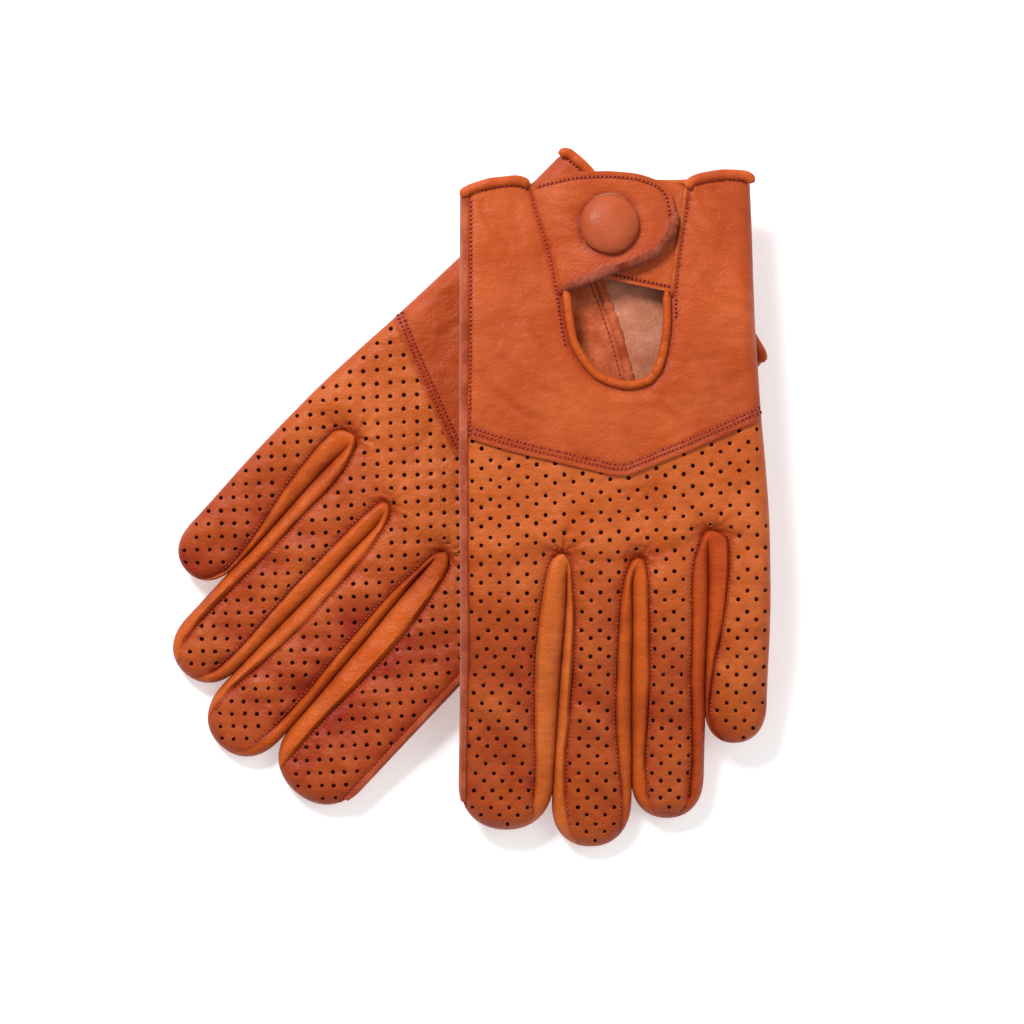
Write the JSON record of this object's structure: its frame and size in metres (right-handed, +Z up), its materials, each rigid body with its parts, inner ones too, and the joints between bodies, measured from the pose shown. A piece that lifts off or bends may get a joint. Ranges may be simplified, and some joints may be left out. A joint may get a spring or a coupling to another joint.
{
  "type": "leather driving gloves",
  "caption": "Pair of unlined perforated leather driving gloves lying crossed, backs up, with keyhole backs, snap flaps, piping and fourchettes.",
  "frame": {"origin": "on the table, under the middle of the pair's bounding box", "axes": "+X to the right of the upper glove's back, +Y towards its cuff, +Z up from the table"},
  "size_m": [0.211, 0.2464, 0.0404],
  "materials": {
    "leather": "smooth cognac nappa with a fine grain and a soft sheen",
    "perforated_leather": "the same nappa with punched round holes",
    "light_leather": "paler tan nappa of the piping and the strips between the fingers",
    "suede": "matt, napped flesh side of the leather",
    "thread": "matt twisted sewing thread",
    "snap_metal": "brushed brass snap parts"
  },
  "bodies": {
    "right_glove": {"right_palm_panel": "leather", "right_back_panel": "perforated_leather", "right_yoke": "leather", "right_side_seams": "leather", "right_fourchette_roots": "light_leather", "right_piping": "light_leather", "right_cuff_hems": "leather", "right_seam_stitching": "thread", "right_underlap": "leather", "right_stud_rivet": "snap_metal", "right_snap_stud": "snap_metal", "right_flap": "leather", "right_snap_cap": "snap_metal", "right_snap_cover": "leather", "right_snap_socket": "snap_metal"},
    "left_glove": {"left_palm_panel": "leather", "left_back_panel": "perforated_leather", "left_yoke": "leather", "left_side_seams": "leather", "left_fourchette_roots": "light_leather", "left_piping": "light_leather", "left_cuff_hems": "leather", "left_seam_stitching": "thread", "left_underlap": "leather", "left_stud_rivet": "snap_metal", "left_snap_stud": "snap_metal"},
    "left_flap": {"left_flap": "leather", "left_snap_cap": "snap_metal", "left_snap_cover": "leather", "left_snap_socket": "snap_metal"},
    "left_index": {"left_index_back": "perforated_leather", "left_index_palm": "leather", "left_index_fourchettes": "light_leather"},
    "left_middle": {"left_middle_back": "perforated_leather", "left_middle_palm": "leather", "left_middle_fourchettes": "light_leather"},
    "left_ring": {"left_ring_back": "perforated_leather", "left_ring_palm": "leather", "left_ring_fourchettes": "light_leather"},
    "left_little": {"left_little_back": "perforated_leather", "left_little_palm": "leather", "left_little_fourchettes": "light_leather"},
    "left_thumb": {"left_thumb_upper": "leather", "left_thumb_lower": "leather"},
    "right_index": {"right_index_back": "perforated_leather", "right_index_palm": "leather", "right_index_fourchettes": "light_leather"},
    "right_middle": {"right_middle_back": "perforated_leather", "right_middle_palm": "leather", "right_middle_fourchettes": "light_leather"},
    "right_ring": {"right_ring_back": "perforated_leather", "right_ring_palm": "leather", "right_ring_fourchettes": "light_leather"},
    "right_little": {"right_little_back": "perforated_leather", "right_little_palm": "leather", "right_little_fourchettes": "light_leather"},
    "right_thumb": {"right_thumb_upper": "leather", "right_thumb_lower": "leather"}
  },
  "joints": [
    {"name": "pair_lift", "type": "slide", "parent": "right_glove", "child": "left_glove", "axis": [0, 0, 1], "range_m": [0, 0.12]},
    {"name": "left_flap_fold", "type": "hinge", "parent": "left_glove", "child": "left_flap", "pos_m": [0.02424, 0.08922, 0.03669], "axis": [0.268, -0.9584, 0.0978], "range_deg": [0, 130]},
    {"name": "left_index_fold", "type": "hinge", "parent": "left_glove", "child": "left_index", "pos_m": [0.01198, -0.05367, 0.03133], "axis": [-0.9976, 0, 0.0698], "range_deg": [0, 75]},
    {"name": "left_middle_fold", "type": "hinge", "parent": "left_glove", "child": "left_middle", "pos_m": [0.04116, -0.05367, 0.02929], "axis": [-0.9976, 0, 0.0698], "range_deg": [0, 75]},
    {"name": "left_ring_fold", "type": "hinge", "parent": "left_glove", "child": "left_ring", "pos_m": [0.06608, -0.0497, 0.0287], "axis": [-0.9976, 0, 0.0698], "range_deg": [0, 75]},
    {"name": "left_little_fold", "type": "hinge", "parent": "left_glove", "child": "left_little", "pos_m": [0.09007, -0.03977, 0.0299], "axis": [-0.9976, 0, 0.0698], "range_deg": [0, 75]},
    {"name": "left_thumb_swing", "type": "hinge", "parent": "left_glove", "child": "left_thumb", "pos_m": [0.00923, 0.02453, 0.02497], "axis": [-0.0697, 0.0262, -0.9972], "range_deg": [0, 60]},
    {"name": "right_index_fold", "type": "hinge", "parent": "right_glove", "child": "right_index", "pos_m": [-0.02152, -0.05613, 0.01489], "axis": [-0.7314, 0.682, 0], "range_deg": [0, 75]},
    {"name": "right_middle_fold", "type": "hinge", "parent": "right_glove", "child": "right_middle", "pos_m": [-0.04292, -0.03618, 0.01489], "axis": [-0.7314, 0.682, 0], "range_deg": [0, 75]},
    {"name": "right_ring_fold", "type": "hinge", "parent": "right_glove", "child": "right_ring", "pos_m": [-0.0584, -0.01627, 0.01524], "axis": [-0.7314, 0.682, 0], "range_deg": [0, 75]},
    {"name": "right_little_fold", "type": "hinge", "parent": "right_glove", "child": "right_little", "pos_m": [-0.06902, 0.00731, 0.01611], "axis": [-0.7314, 0.682, 0], "range_deg": [0, 75]},
    {"name": "right_thumb_swing", "type": "hinge", "parent": "right_glove", "child": "right_thumb", "pos_m": [0.03336, -0.00065, 0.0037], "axis": [0, 0, 1], "range_deg": [0, 60]}
  ]
}
